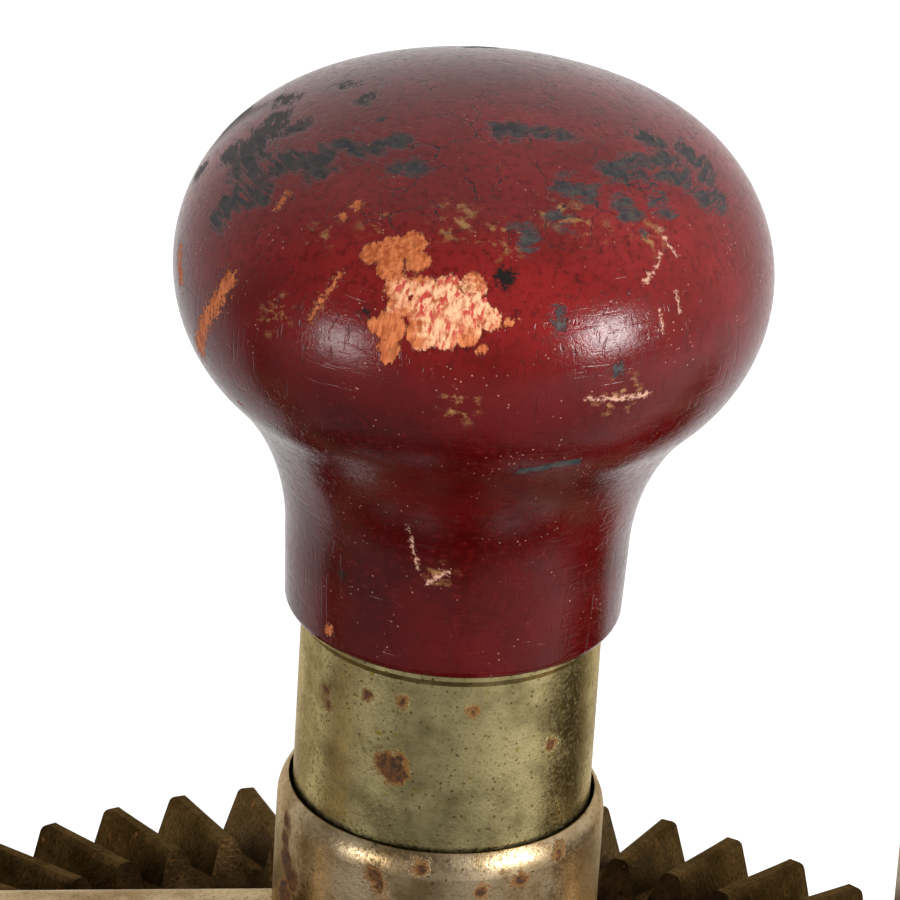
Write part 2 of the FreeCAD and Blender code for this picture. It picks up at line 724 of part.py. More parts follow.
def washer(label, bore, radius, top, thick, shift=("0", "0", "0")):
    """A flat ring about Z, hanging down from its top face."""
    body = new_body(label, shift=shift)
    bottom = f"{top} - {thick}"
    turned_about_z(body, "profile", [(bore, top), (radius, top), (radius, bottom), (bore, bottom)])
    return body


def axle_screw():
    """The slotted screw that keeps the gear and crank on the stud."""
    body = new_body("axle_screw")
    seat = "-stud_bottom_drop - axle_washer_thick"
    end = f"{seat} - axle_screw_head"
    turned_about_z(body, "profile", [
        ("0", "-stud_bottom_drop + axle_screw_depth"),
        ("axle_screw_r", "-stud_bottom_drop + axle_screw_depth"),
        ("axle_screw_r", seat),
        ("axle_screw_head_r", seat),
        ("axle_screw_head_r", f"{seat} - axle_screw_head / 2"),
        ("axle_screw_head_r - axle_screw_head / 2", end),
        ("0", end),
    ])
    slot = new_sketch(body, "slot", "XY_Plane", f"{end} - cut_overrun")
    half_width, half_length = "screw_slot_width / 2", "(axle_screw_head_r + cut_overrun)"
    outline(slot, [(f"-{half_length}", f"-{half_width}"), (half_length, f"-{half_width}"),
                   (half_length, half_width), (f"-{half_length}", half_width)])
    pocket(body, slot, "screw_slot_depth + cut_overrun")
    return body


def side_knob():
    body = new_body("side_knob", shift=("0", "0", "knob_foot"))
    tenon_r = "knob_ferrule_r - ferrule_wall - push_fit"
    tenon_end = "-knob_ferrule_height + tenon_end_gap"
    turned_grip(body, "knob", [
        (tenon_r, "0"),
        (tenon_r, tenon_end),
        ("stud_r", tenon_end),
        ("stud_r", "knob_stud_rise + end_float"),
        ("0", "knob_stud_rise + end_float"),
    ])
    round_edges(body, "foot_round", lambda edge: is_ring(edge, "knob_foot_r", Z_WAY, "0"))
    return body


def side_knob_ferrule():
    """The plated tube between the cup and the wood, with a rolled rim at its top."""
    body = new_body("side_knob_ferrule")
    bore = "knob_ferrule_r - ferrule_wall"
    turned_about_z(body, "profile", [
        (bore, "cup_floor"),
        ("knob_ferrule_r", "cup_floor"),
        ("knob_ferrule_r", "knob_foot - 2 * knob_rim_height"),
        ("knob_rim_r", "knob_foot - knob_rim_height"),
        ("knob_rim_r", "knob_foot"),
        (bore, "knob_foot"),
    ])
    return body


def side_knob_stud():
    body = new_body("side_knob_stud")
    radius, top = "stud_r - push_fit", "knob_foot + knob_stud_rise"
    turned_about_z(body, "profile", [
        ("0", "knob_stud_bottom"), (radius, "knob_stud_bottom"), (radius, top), ("0", top)])
    return body


def main_handle():
    body = new_body("main_handle", turn=((0, 1, 0), "-90"), shift=("-handle_foot", "0", "0"))
    tenon_r = "handle_ferrule_r - ferrule_wall - push_fit"
    tenon_end = "-handle_ferrule_length + tenon_end_gap"
    bore, floor = "tang_r + push_fit", "tang_length - handle_ferrule_length + end_float"
    turned_grip(body, "handle", [
        (tenon_r, "0"), (tenon_r, tenon_end), (bore, tenon_end), (bore, floor), ("0", floor)])
    pin_hole = new_sketch(body, "pin_hole", "XZ_Plane")
    circle(pin_hole, "0", "handle_pin_back - handle_ferrule_length", "handle_pin_r + push_fit")
    pocket(body, pin_hole, "2 * (handle_ferrule_r + cut_overrun)", both_ways=True)
    round_edges(body, "foot_round", lambda edge: is_ring(edge, "handle_foot_r", Z_WAY, "0"))
    return body


def main_handle_ferrule():
    body = new_body("main_handle_ferrule")
    bore = "handle_ferrule_r - ferrule_wall"
    turned_about_x(body, "profile", [
        ("-handle_foot", bore), ("-handle_foot", "handle_ferrule_r"),
        ("-handle_front", "handle_ferrule_r"), ("-handle_front", bore)])
    pin_hole = circle(new_sketch(body, "pin_hole", "XZ_Plane"), HANDLE_PIN_X, "0", "handle_pin_r + push_fit")
    pocket(body, pin_hole, "2 * (handle_ferrule_r + cut_overrun)", both_ways=True)
    return body


def handle_pin():
    body = new_body("handle_pin")
    sketch = circle(new_sketch(body, "profile", "XZ_Plane"), HANDLE_PIN_X, "0", "handle_pin_r")
    pad(body, sketch, "2 * handle_ferrule_r", both_ways=True)
    return body


def thrust_race(label, back, front):
    """A ring about X with a ball track in its front face."""
    body = new_body(label)
    bore, inward = "spindle_r + end_float", 1 if number(back) > number(front) else -1
    track = "ball_r + running_fit"
    half_chord = f"sqrt(({track})^2 - (race_gap / 2)^2)"
    turned_about_x(body, "profile", [
        (back, bore),
        (back, "race_r"),
        (front, "race_r"),
        (front, f"ball_track_r + {half_chord}", track, inward),
        (front, f"ball_track_r - {half_chord}"),
        (front, bore),
    ])
    return body


def thrust_balls():
    """The ring of balls between the two races, as one group."""
    balls = []
    for index in range(int(number("ball_count"))):
        ball = doc.addObject("Part::Sphere", f"thrust_ball_{index + 1}")
        ball.setExpression("Radius", bound("ball_r"))
        swing = f"({index} * 360 deg / ball_count)"
        ball.setExpression("Placement.Base.x", bound("race_track_x - grip_x"))
        ball.setExpression("Placement.Base.y", bound(f"ball_track_r * cos{swing}"))
        ball.setExpression("Placement.Base.z", bound(f"ball_track_r * sin{swing}"))
        balls.append(ball)
    group = doc.addObject("Part::Compound", "thrust_balls")
    group.Label = "thrust_balls"
    group.Links = balls
    return group


def spindle():
    body = new_body("spindle", turn=PINION_TURN)
    start = "window_start - bearing_depth + spindle_top_gap"
    end = "chuck_rear + chuck_socket_depth - end_float"
    turned_about_x(body, "profile", [(start, "0"), (start, "spindle_r"), (end, "spindle_r"), (end, "0")])
    cross_hole(body)
    return body


def pinion_pin():
    body = new_body("pinion_pin", turn=PINION_TURN)
    sketch = circle(new_sketch(body, "profile", "XY_Plane"), PINION_PIN_X, "0", "pinion_pin_r")
    pad(body, sketch, "2 * (pinion_hub_r - pinion_pin_sink)", both_ways=True)
    return body


# Chuck
def jaw_line(sketch, radius, front, back):
    """A rectangle beside a jaw's slanted axis, measured back along it from the nose.

    Its first edge lies on the axis.
    """
    run, climb = "cos(jaw_slope_angle * 1 deg)", "sin(jaw_slope_angle * 1 deg)"
    corners = []
    for way, out in ((front, "0"), (back, "0"), (back, radius), (front, radius)):
        corners.append((f"chuck_nose - ({way}) * {run} + ({out}) * {climb}",
                        f"jaw_nose_offset + ({way}) * {climb} + ({out}) * {run}"))
    return outline(sketch, corners)


def chuck_body():
    """The body on the spindle: hub, flange, lands for the sleeve, nut groove, cone and jaw bores."""
    body = new_body("chuck_body")
    socket, socket_end = "spindle_r + push_fit", "chuck_rear + chuck_socket_depth"
    hub_end = "chuck_rear + chuck_hub_length"
    hole_end = "chuck_nose - shank_hole_depth"
    turned_about_x(body, "profile", [
        ("chuck_rear", socket),
        ("chuck_rear", "chuck_hub_r"),
        (hub_end, "chuck_hub_r"),
        (hub_end, "chuck_flange_r"),
        ("chuck_flange_front", "chuck_flange_r"),
        ("chuck_flange_front", "chuck_land_r"),
        ("nut_start", "chuck_land_r"),
        ("nut_start", "nut_groove_r"),
        ("nut_groove_end", "nut_groove_r"),
        ("nut_groove_end", "chuck_land_r"),
        ("chuck_cone_start", "chuck_land_r"),
        ("chuck_nose", "chuck_nose_r"),
        ("chuck_nose", "shank_hole_r"),
        (hole_end, "shank_hole_r"),
        (hole_end, "0"),
        (socket_end, "0"),
        (socket_end, socket),
    ])
    doc.recompute()
    sketch = new_sketch(body, "jaw_bore", "XZ_Plane")
    jaw_line(sketch, "jaw_r + running_fit", "-jaw_r", "jaw_bore_length")
    bore = body.newObject("PartDesign::Groove", "chuck_jaw_bore")
    bore.Profile = sketch
    bore.ReferenceAxis = (sketch, ["Edge1"])
    bore.Angle = 360
    polar_pattern(body, bore, "X_Axis", "jaw_count")
    return body


def chuck_jaw(index):
    """One jaw: a round bar along its slanted bore, ground to a wedge and to the gripped shank's radius."""
    body = new_body(f"chuck_jaw_{index + 1}", turn=((1, 0, 0), f"{index} * 360 / jaw_count"))
    sketch = jaw_line(new_sketch(body, "bar", "XZ_Plane"), "jaw_r", "-jaw_tip_out - jaw_r", "jaw_length")
    bar = body.newObject("PartDesign::Revolution", f"{body.Name}_bar_turned")
    bar.Profile = sketch
    bar.ReferenceAxis = (sketch, ["Edge1"])
    bar.Angle = 360
    doc.recompute()
    reach = "4 * jaw_r"
    tip = new_sketch(body, "tip", "YZ_Plane", "chuck_nose + jaw_tip_out")
    outline(tip, [(f"-{reach}", f"-{reach}"), (reach, f"-{reach}"), (reach, reach), (f"-{reach}", reach)])
    pocket(body, tip, reach)
    half_sector = "(180 deg / jaw_count)"
    side, rise = f"{reach} * sin{half_sector}", f"jaw_edge_offset + {reach} * cos{half_sector}"
    wedge = new_sketch(body, "wedge", "YZ_Plane", "nut_groove_end")
    outline(wedge, [("0", "jaw_edge_offset"), (f"-{side}", rise), (f"-{side}", f"-{reach}"),
                    (side, f"-{reach}"), (side, rise)])
    past_tip = "chuck_nose + jaw_tip_out + cut_overrun - nut_groove_end"
    pocket(body, wedge, past_tip)
    seat = circle(new_sketch(body, "seat", "YZ_Plane", "nut_groove_end"), "0", "0", "grip_r")
    pocket(body, seat, past_tip)
    return body


def chuck_nut():
    """The ring inside the sleeve, bored to a cone that runs along the jaws' outer sides."""
    body = new_body("chuck_nut")
    start, end = "nut_start + nut_end_gap", "nut_start + nut_end_gap + nut_length"
    slope = "jaw_slope_angle * 1 deg"

    def cone(x):
        return f"jaw_nose_offset + (chuck_nose - ({x})) * tan({slope}) + jaw_r / cos({slope}) + end_float"

    turned_about_x(body, "profile", [
        (start, cone(start)), (start, "sleeve_bore_r"), (end, "sleeve_bore_r"), (end, cone(end))])
    return body


def chuck_sleeve():
    body = new_body("chuck_sleeve")
    start, end = "chuck_flange_front + end_float", "chuck_cone_start - sleeve_front_inset"
    outer = "sleeve_bore_r + sleeve_wall"
    turned_about_x(body, "profile", [
        (start, "sleeve_bore_r"),
        (start, f"{outer} - sleeve_chamfer / 2"),
        (f"{start} + sleeve_chamfer / 2", outer),
        (f"{end} - 2 * sleeve_chamfer", outer),
        (end, f"{outer} - sleeve_chamfer"),
        (end, "sleeve_bore_r"),
    ])
    return body


# Crank
def crank_arm():
    """A flat tapered arm with a square eye on the gear's hub and an end that carries the crank pin."""
    body = new_body("crank_arm")
    sketch = new_sketch(body, "outline", "XY_Plane", "-crank_bottom_drop")
    lean = "asin((crank_eye_r - crank_end_r) / crank_throw)"
    eye_x, eye_y = f"crank_eye_r * cos({lean})", f"-crank_eye_r * sin({lean})"
    end_x, end_y = f"crank_end_r * cos({lean})", f"-crank_throw - crank_end_r * sin({lean})"
    outline(sketch, [
        ("0", "crank_eye_r", "crank_eye_r", -1),
        (f"-{eye_x}", eye_y),
        (f"-{end_x}", end_y, "crank_end_r", -1),
        ("0", "-crank_throw - crank_end_r", "crank_end_r", -1),
        (end_x, end_y),
        (eye_x, eye_y, "crank_eye_r", -1),
    ])
    half = "(gear_square / 2 + push_fit)"
    outline(sketch, [(f"-{half}", f"-{half}"), (half, f"-{half}"), (half, half), (f"-{half}", half)])
    circle(sketch, "0", "-crank_throw", "crank_pin_r + push_fit")
    pad(body, sketch, "crank_thick")
    rim = number("crank_thick")

    def on_rim(edge):
        """True for the outer outline's edges, on either flat face."""
        flat = all(abs(spot.Z - edge.Vertexes[0].Z) < NEAR for spot in edge.Vertexes)
        middle = edge.CenterOfMass
        outside = math.hypot(middle.x, middle.y) > number("gear_square")
        at_end = math.hypot(middle.x, middle.y + number("crank_throw")) < number("crank_pin_r") / 2
        inside = max(abs(middle.x), abs(middle.y)) < number(half) + NEAR
        beyond_eye = outside or middle.y > number(half)
        return flat and edge.Length > rim and beyond_eye and not inside and not at_end

    round_edges(body, "crank_edge_r", on_rim)
    hole = new_sketch(body, "set_screw_hole", "XZ_Plane", "-crank_eye_r - cut_overrun")
    circle(hole, "0", SET_SCREW_Z, "set_screw_r")
    pocket(body, hole, "crank_eye_r + cut_overrun - gear_square / 4")
    return body


def crank_set_screw():
    body = new_body("crank_set_screw")
    sketch = new_sketch(body, "profile", "XZ_Plane", "-gear_square / 2 - push_fit")
    pad(body, circle(sketch, "0", SET_SCREW_Z, "set_screw_r - push_fit"), "set_screw_length", reverse=True)
    return body


def crank_pin():
    """The headed pin, riveted in the arm, that the crank knob turns on."""
    body = new_body("crank_pin", shift=("0", "-crank_throw", "0"))
    seat = "-crank_foot_drop - crank_head_floor - knob_float"
    end = f"{seat} - crank_pin_head"
    turned_about_z(body, "profile", [
        ("0", "-gear_hub_bottom_drop"),
        ("crank_pin_r", "-gear_hub_bottom_drop"),
        ("crank_pin_r", seat),
        ("crank_pin_head_r", seat),
        ("crank_pin_head_r", f"{seat} - crank_pin_head / 2"),
        ("crank_pin_head_r - crank_pin_head / 2", end),
        ("0", end),
    ])
    return body


def crank_knob():
    body = new_body("crank_knob", turn=((1, 0, 0), "180"), shift=("0", "-crank_throw", "-crank_foot_drop"))
    turned_grip(body, "crank", [("0", "0")])
    bore = new_sketch(body, "bore", "XY_Plane", "-cut_overrun")
    circle(bore, "0", "0", "crank_pin_r + running_fit")
    pocket(body, bore, "crank_top + 2 * cut_overrun")
    seat = new_sketch(body, "seat", "XY_Plane", "crank_head_floor")
    circle(seat, "0", "0", "crank_pin_head_r + end_float")
    pocket(body, seat, "crank_top + cut_overrun - crank_head_floor")
    round_edges(body, "foot_round", lambda edge: is_ring(edge, "crank_foot_r", Z_WAY, "0"))
    return body


pieces = [
    frame(),
    gear_stud(),
    washer("gear_washer", "axle_r + running_fit", "gear_washer_r", "-boss_drop", "gear_washer_thick"),
    washer("axle_washer", "axle_screw_r + running_fit", "axle_washer_r", "-stud_bottom_drop",
           "axle_washer_thick"),
    axle_screw(),
    side_knob(),
    side_knob_ferrule(),
    side_knob_stud(),
    main_handle(),
    main_handle_ferrule(),
    handle_pin(),
    thrust_race("thrust_race_upper", "nose_boss_end", "nose_boss_end + race_thick"),
    drive_gear(),
    crank_arm(),
    crank_set_screw(),
    crank_pin(),
    washer("crank_knob_washer", "crank_pin_r + running_fit", "crank_washer_r", "-crank_bottom_drop",
           "crank_washer_thick", shift=("0", "-crank_throw", "0")),
    crank_knob(),
    spindle(),
    pinion(),
    pinion_pin(),
    thrust_race("thrust_race_lower", "chuck_rear", "chuck_rear - race_thick"),
    thrust_balls(),
    chuck_body(),
    chuck_sleeve(),
    chuck_nut(),
]
pieces += [chuck_jaw(index) for index in range(int(number("jaw_count")))]

doc.recompute()
for item in doc.Objects:
    if {"Invalid", "Error"} & set(item.State):
        raise RuntimeError(f"{item.Name} failed: {item.State}")
for piece in pieces:
    if piece.Shape.isNull() or not piece.Shape.isValid():
        raise RuntimeError(f"{piece.Label} has no sound shape")
for piece in pieces:
    piece.Shape.exportStep(f"parts/{piece.Label}.step")
print(f"{len(pieces)} sub-parts written")
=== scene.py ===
"""Dresses a hand-crank drill: chipped maroon lacquer on wood, worn nickel on the frame, oily iron gears."""

import json
import math
from collections import namedtuple

import bpy
from mathutils import Matrix, Vector


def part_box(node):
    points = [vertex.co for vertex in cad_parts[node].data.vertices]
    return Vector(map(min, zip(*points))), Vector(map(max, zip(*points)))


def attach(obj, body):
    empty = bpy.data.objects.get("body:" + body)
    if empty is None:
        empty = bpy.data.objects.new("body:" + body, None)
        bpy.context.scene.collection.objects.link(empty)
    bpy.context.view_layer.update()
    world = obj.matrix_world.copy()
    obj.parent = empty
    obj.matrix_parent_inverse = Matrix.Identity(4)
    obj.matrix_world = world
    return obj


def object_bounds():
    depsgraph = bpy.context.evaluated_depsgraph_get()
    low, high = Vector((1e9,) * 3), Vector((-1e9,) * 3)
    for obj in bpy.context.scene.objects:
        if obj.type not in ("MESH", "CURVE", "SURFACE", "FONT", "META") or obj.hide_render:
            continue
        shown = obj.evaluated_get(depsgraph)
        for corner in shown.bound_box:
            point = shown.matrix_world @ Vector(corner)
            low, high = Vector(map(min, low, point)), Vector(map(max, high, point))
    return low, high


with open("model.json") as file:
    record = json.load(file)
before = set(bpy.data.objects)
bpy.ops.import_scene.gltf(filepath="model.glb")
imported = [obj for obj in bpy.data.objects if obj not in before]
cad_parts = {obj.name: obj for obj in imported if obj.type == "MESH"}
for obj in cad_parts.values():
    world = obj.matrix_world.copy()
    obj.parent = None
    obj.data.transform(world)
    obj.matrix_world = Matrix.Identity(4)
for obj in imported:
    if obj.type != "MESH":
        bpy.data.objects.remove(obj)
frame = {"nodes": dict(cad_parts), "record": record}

CAD_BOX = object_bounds()
NODES = frame["nodes"]
MM = 0.001

# Places in the frame, in metres, and the top of the side knob in millimetres
GEAR_LOW, GEAR_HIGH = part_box("drive_gear")
GEAR_AXIS = (GEAR_LOW + GEAR_HIGH) / 2
LIP_CENTRE = Vector((GEAR_AXIS.x, 0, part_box("frame")[1].z))
KNOB_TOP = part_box("side_knob")[1].z / MM

# The photograph's view
VIEW_AZIMUTH = math.radians(-8)
VIEW_ELEVATION = math.radians(28.97)
VIEW_DISTANCE = 473.4 * MM
AIM_RIGHT = math.radians(-0.10)
AIM_UP = math.radians(2.66)
VIEW_ROLL = math.radians(3.6)
FOCAL_PIXELS = 7042
IMAGE_PIXELS = 900
SENSOR_MM = 36
CLIP_START = 0.01
PIXEL_MM = VIEW_DISTANCE / FOCAL_PIXELS / MM

# Marks on the side knob, as circles in the photograph: across, down, radius
BIG_CHIP = [
    (371, 254, 10), (391, 251, 15), (412, 245, 14), (391, 268, 13), (417, 261, 11), (399, 289, 13),
    (399, 306, 12), (391, 327, 15), (377, 326, 8), (389, 348, 10), (386, 358, 6), (425, 289, 12),
    (447, 291, 14), (474, 286, 12), (426, 312, 19), (454, 312, 21), (477, 311, 14), (421, 334, 14),
    (444, 334, 14), (466, 331, 14), (491, 320, 11), (509, 322, 5), (521, 321, 2), (483, 350, 4),
]
CHIP_RESIDUE = [(402, 292, 8), (432, 300, 16), (455, 300, 20), (482, 310, 16), (440, 335, 14)]
SMALL_CHIPS = [(240, 403, 2), (329, 629, 5), (356, 205, 5), (342, 217, 4)]
HIGH_OLD_PAINT = [
    (285, 100, 10), (273, 124, 15), (255, 144, 17), (297, 126, 8), (251, 168, 18), (273, 168, 12),
    (294, 160, 9), (320, 158, 13), (320, 172, 8), (338, 147, 6), (356, 152, 5), (378, 148, 4),
    (398, 142, 5), (414, 168, 6), (396, 169, 3), (245, 193, 14), (223, 211, 10), (261, 193, 8),
    (201, 170, 5), (231, 152, 8), (346, 86, 4), (366, 98, 5), (516, 131, 8), (502, 131, 5),
    (542, 133, 4), (568, 136, 6), (582, 190, 7), (566, 185, 4), (637, 160, 10), (627, 170, 8),
    (614, 170, 4), (641, 175, 6), (649, 138, 7), (659, 142, 4), (669, 164, 13), (681, 180, 8),
    (663, 175, 7), (683, 148, 4), (701, 164, 7), (705, 179, 5), (703, 195, 6), (719, 201, 8),
    (627, 207, 6), (659, 203, 5), (528, 237, 5), (558, 221, 4),
]
LOW_OLD_PAINT = [(560, 324, 5), (559, 311, 4), (618, 370, 5), (644, 233, 2)]
DARK_SPOTS = [(505, 277, 9), (342, 574, 2), (365, 312, 3), (381, 119, 3)]
SMUDGES = [
    (455, 221, 22), (500, 240, 20), (560, 214, 22), (590, 225, 18), (375, 224, 14), (460, 405, 16),
    (620, 396, 22), (275, 315, 18), (650, 235, 16), (440, 575, 12), (320, 235, 12),
]

# Long marks on the side knob: points of a line in the photograph, and the line's half width
LONG_CHIPS = [([(230, 280), (217, 300), (206, 320), (200, 350)], 7), ([(180, 253), (181, 280)], 6)]
THIN_CHIPS = [([(341, 274), (329, 290), (318, 305), (311, 319)], 1.4), ([(288, 193), (277, 208)], 1.8)]
LONG_OLD_PAINT = [([(521, 471), (550, 466), (578, 461)], 4)]
PALE_SCRATCHES = [
    ([(660, 229), (668, 244), (677, 257)], 1.2), ([(660, 254), (658, 265), (644, 283)], 1.2),
    ([(588, 399), (615, 399), (648, 394)], 1.6), ([(408, 525), (413, 548), (418, 568)], 0.7),
    ([(427, 583), (446, 572)], 1.5), ([(660, 310), (663, 332)], 0.8), ([(676, 292), (680, 312)], 1),
]

# Rust on the metal below the knob, as circles in the photograph
FERRULE_RUST = [
    (388, 765, 11), (394, 771, 11), (383, 759, 3), (398, 759, 3), (552, 744, 3.5), (367, 695, 2.5),
    (473, 711, 2.5), (403, 702, 2.5), (326, 690, 3), (328, 705, 2.5),
]
CUP_RUST = [
    (287, 822, 5), (285, 838, 7), (286, 860, 11), (291, 878, 12), (284, 892, 12), (374, 874, 6),
    (381, 888, 4), (420, 868, 4), (560, 852, 5), (520, 880, 4), (481, 893, 4),
]

# Wear, and painted light, that start and are full at two heights below the top of the side knob, in
# millimetres
# Painted light: the first band makes the side knob's lacquer lighter towards its top, as light from above
# would
PAINTED_LIGHT_BAND = (17, 4)
CRACKLED_BAND = (6, 3)
SMUDGED_BAND = (4, 1)

# How deep marks lie in the lacquer and how high its unevenness stands, in millimetres, and its gloss
CHIP_DEPTH = 0.12
OLD_PAINT_DEPTH = 0.035
CRACK_DEPTH = 0.04
SCRATCH_DEPTH = 0.012
UNEVEN_HEIGHT = 0.02
GRAIN_HEIGHT = 0.12
LACQUER_SPECULAR = 0.22

# The chuck sleeve's knurl, in metres
KNURL_REAR = 2.4 * MM
KNURL_FRONT = 4.2 * MM
KNURL_HEIGHT = 0.35 * MM
KNURL_DEPTH = 0.3 * MM
KNURL_TEETH = 64
KNURL_STEPS = 4

# The soft lamps: where the lacquer mirrors them in the photograph, their sizes in metres, powers in watts
LEFT_HIGHLIGHT = (342, 340)
LEFT_LAMP_SIZE = 0.16
LEFT_LAMP_POWER = 1.3
RIGHT_HIGHLIGHT = (605, 335)
RIGHT_LAMP_SIZE = 0.17
RIGHT_LAMP_POWER = 3.9
LAMP_DISTANCE = 0.55

# The floor and the room. Mirrors see both dimmer in front of the drill than on its white side
WHITE_SIDE = Vector((0.4, 1, 0))
FLOOR_REACH = 3.0
FLOOR_LIFT = 0.68
FLOOR_GREY = (0.5, 0.5, 0.5, 1)
FLOOR_PALE = (0.75, 0.75, 0.75, 1)
FLOOR_ROUGHNESS = 0.9
FLOOR_START = -0.08
FLOOR_END = 0.02
ROOM_START = -0.5
ROOM_END = 0.3
ROOM_LIGHT = 0.25
SKY_LIGHT = 0.45
WHITE = (1, 1, 1, 1)


def rgb(red, green, blue):
    """A colour as a screen shows it, 0 to 255, as the shader takes it."""
    shares = [value / 255 for value in (red, green, blue)]
    return [s / 12.92 if s <= 0.04045 else ((s + 0.055) / 1.055) ** 2.4 for s in shares] + [1]


# Colours of the lacquer and what lies on it
DEEP_MAROON = rgb(58, 3, 4)
MAROON = rgb(80, 6, 8)
# Paler lacquer, for faded patches and for the painted light on the side knob's top
FADED_AND_LIT_MAROON = rgb(104, 18, 17)
FADED_AND_LIT_RED = rgb(130, 30, 29)
MOTTLED_MAROON = rgb(82, 8, 8)
BRUSHED_MAROON = rgb(70, 12, 12)
DUST = rgb(170, 120, 100)
SMUDGE = rgb(150, 108, 66)
CRACK = rgb(38, 14, 12)
SCRATCH = rgb(196, 150, 128)
BLACK_SPOT = rgb(28, 24, 22)

# Colours of what shows through the lacquer
OLD_GREEN = rgb(22, 50, 54)
OLD_GREY = rgb(70, 74, 70)
OLD_PAINT_COVER = 0.86
DARK_WOOD = rgb(160, 74, 34)
WOOD = rgb(206, 118, 70)
PALE_WOOD = rgb(240, 184, 140)
STAINED_WOOD = rgb(186, 62, 54)
BROWN_WOOD = rgb(150, 88, 44)

# Colours of the metal
NICKEL = rgb(182, 162, 130)
DULL_NICKEL = rgb(128, 106, 74)
NICKEL_STAIN = rgb(118, 90, 54)
FERRULE = rgb(176, 162, 116)
DULL_FERRULE = rgb(122, 110, 74)
FERRULE_STAIN = rgb(128, 110, 32)
CHUCK = rgb(186, 174, 150)
DULL_CHUCK = rgb(164, 150, 124)
PLATING_EDGE = rgb(242, 226, 198)
RUST_SPECK = rgb(74, 54, 18)
RUST_HALO = rgb(122, 76, 22)
DARK_RUST = rgb(38, 22, 12)
BROWN_RUST = rgb(92, 52, 20)
DARK_IRON = rgb(38, 27, 14)
IRON = rgb(78, 58, 34)
BLACK_IRON = rgb(22, 15, 6)
RUSTY_IRON = rgb(118, 78, 42)
IRON_EDGE = rgb(228, 210, 188)
DULL_STEEL = rgb(150, 142, 130)
STEEL = rgb(196, 190, 180)
STEEL_TARNISH = rgb(112, 82, 56)


def view_axes():
    """Where the camera stands, and its right, up and forward directions."""
    right = Vector((math.cos(VIEW_AZIMUTH), math.sin(VIEW_AZIMUTH), 0))
    away = Vector((-math.sin(VIEW_AZIMUTH), math.cos(VIEW_AZIMUTH), 0))
    rise = VIEW_DISTANCE * math.sin(VIEW_ELEVATION)
    place = LIP_CENTRE - VIEW_DISTANCE * math.cos(VIEW_ELEVATION) * away + Vector((0, 0, rise))
    forward = (LIP_CENTRE - place).normalized()
    up = right.cross(forward)
    forward = (forward + math.tan(AIM_RIGHT) * right + math.tan(AIM_UP) * up).normalized()
    right = forward.cross(up).normalized()
    up = right.cross(forward)
    rolled_right = math.cos(VIEW_ROLL) * right + math.sin(VIEW_ROLL) * up
    rolled_up = math.cos(VIEW_ROLL) * up - math.sin(VIEW_ROLL) * right
    return place, rolled_right, rolled_up, forward


VIEW_PLACE, VIEW_RIGHT, VIEW_UP, VIEW_FORWARD = view_axes()


def make_camera():
    """A long lens above the side knob, at the photograph's angle."""
    lens = bpy.data.cameras.new("camera")
    lens.sensor_width = SENSOR_MM
    lens.lens = FOCAL_PIXELS / IMAGE_PIXELS * SENSOR_MM
    lens.clip_start = CLIP_START
    camera = bpy.data.objects.new("camera", lens)
    bpy.context.scene.collection.objects.link(camera)
    turn = Matrix((VIEW_RIGHT, VIEW_UP, -VIEW_FORWARD)).transposed()
    camera.matrix_world = Matrix.Translation(VIEW_PLACE) @ turn.to_4x4()
    bpy.context.scene.camera = camera


def seen_on(node, across, down):
    """The point of a CAD node that a pixel of the photograph shows, and the surface's direction there."""
    half = IMAGE_PIXELS / 2
    ray = VIEW_FORWARD * FOCAL_PIXELS + VIEW_RIGHT * (across - half) + VIEW_UP * (half - down)
    hit, place, normal, _ = NODES[node].ray_cast(VIEW_PLACE, ray.normalized())
    if not hit:
        raise ValueError(f"no part of {node} is seen at {across}, {down}")
    return place, normal


def feed(tree, socket, value):
    """Links a socket to another one, or sets its own value."""
    if isinstance(value, bpy.types.NodeSocket):
        tree.links.new(value, socket)
    else:
        socket.default_value = value


def add_node(tree, kind, inputs=None, **settings):
    """A new node with these settings, its sockets fed by numbers or by other sockets."""
    node = tree.nodes.new(kind)
    for key, value in settings.items():
        setattr(node, key, value)
    for key, value in (inputs or {}).items():
        feed(tree, node.inputs[key], value)
    return node


def calc(tree, operation, *values):
    return add_node(tree, "ShaderNodeMath", dict(enumerate(values)), operation=operation).outputs[0]


def vector_calc(tree, operation, *values):
    """A vector, or a number where the operation is a distance or a dot product."""
    node = add_node(tree, "ShaderNodeVectorMath", dict(enumerate(values)), operation=operation)
    return node.outputs["Value" if operation in ("DISTANCE", "DOT_PRODUCT") else "Vector"]


def scaled(tree, vector, factor):
    return add_node(tree, "ShaderNodeVectorMath", {0: vector, "Scale": factor}, operation="SCALE").outputs[0]


def soft_step(tree, value, low, high):
    """0 below low and 1 above high, with a soft change between them. Low may be the larger."""
    inputs = {"Value": value, "From Min": low, "From Max": high}
    return add_node(tree, "ShaderNodeMapRange", inputs, interpolation_type="SMOOTHSTEP").outputs[0]


def mixed_colour(tree, mask, under, over):
    return add_node(tree, "ShaderNodeMix", {0: mask, 6: under, 7: over}, data_type="RGBA").outputs[2]


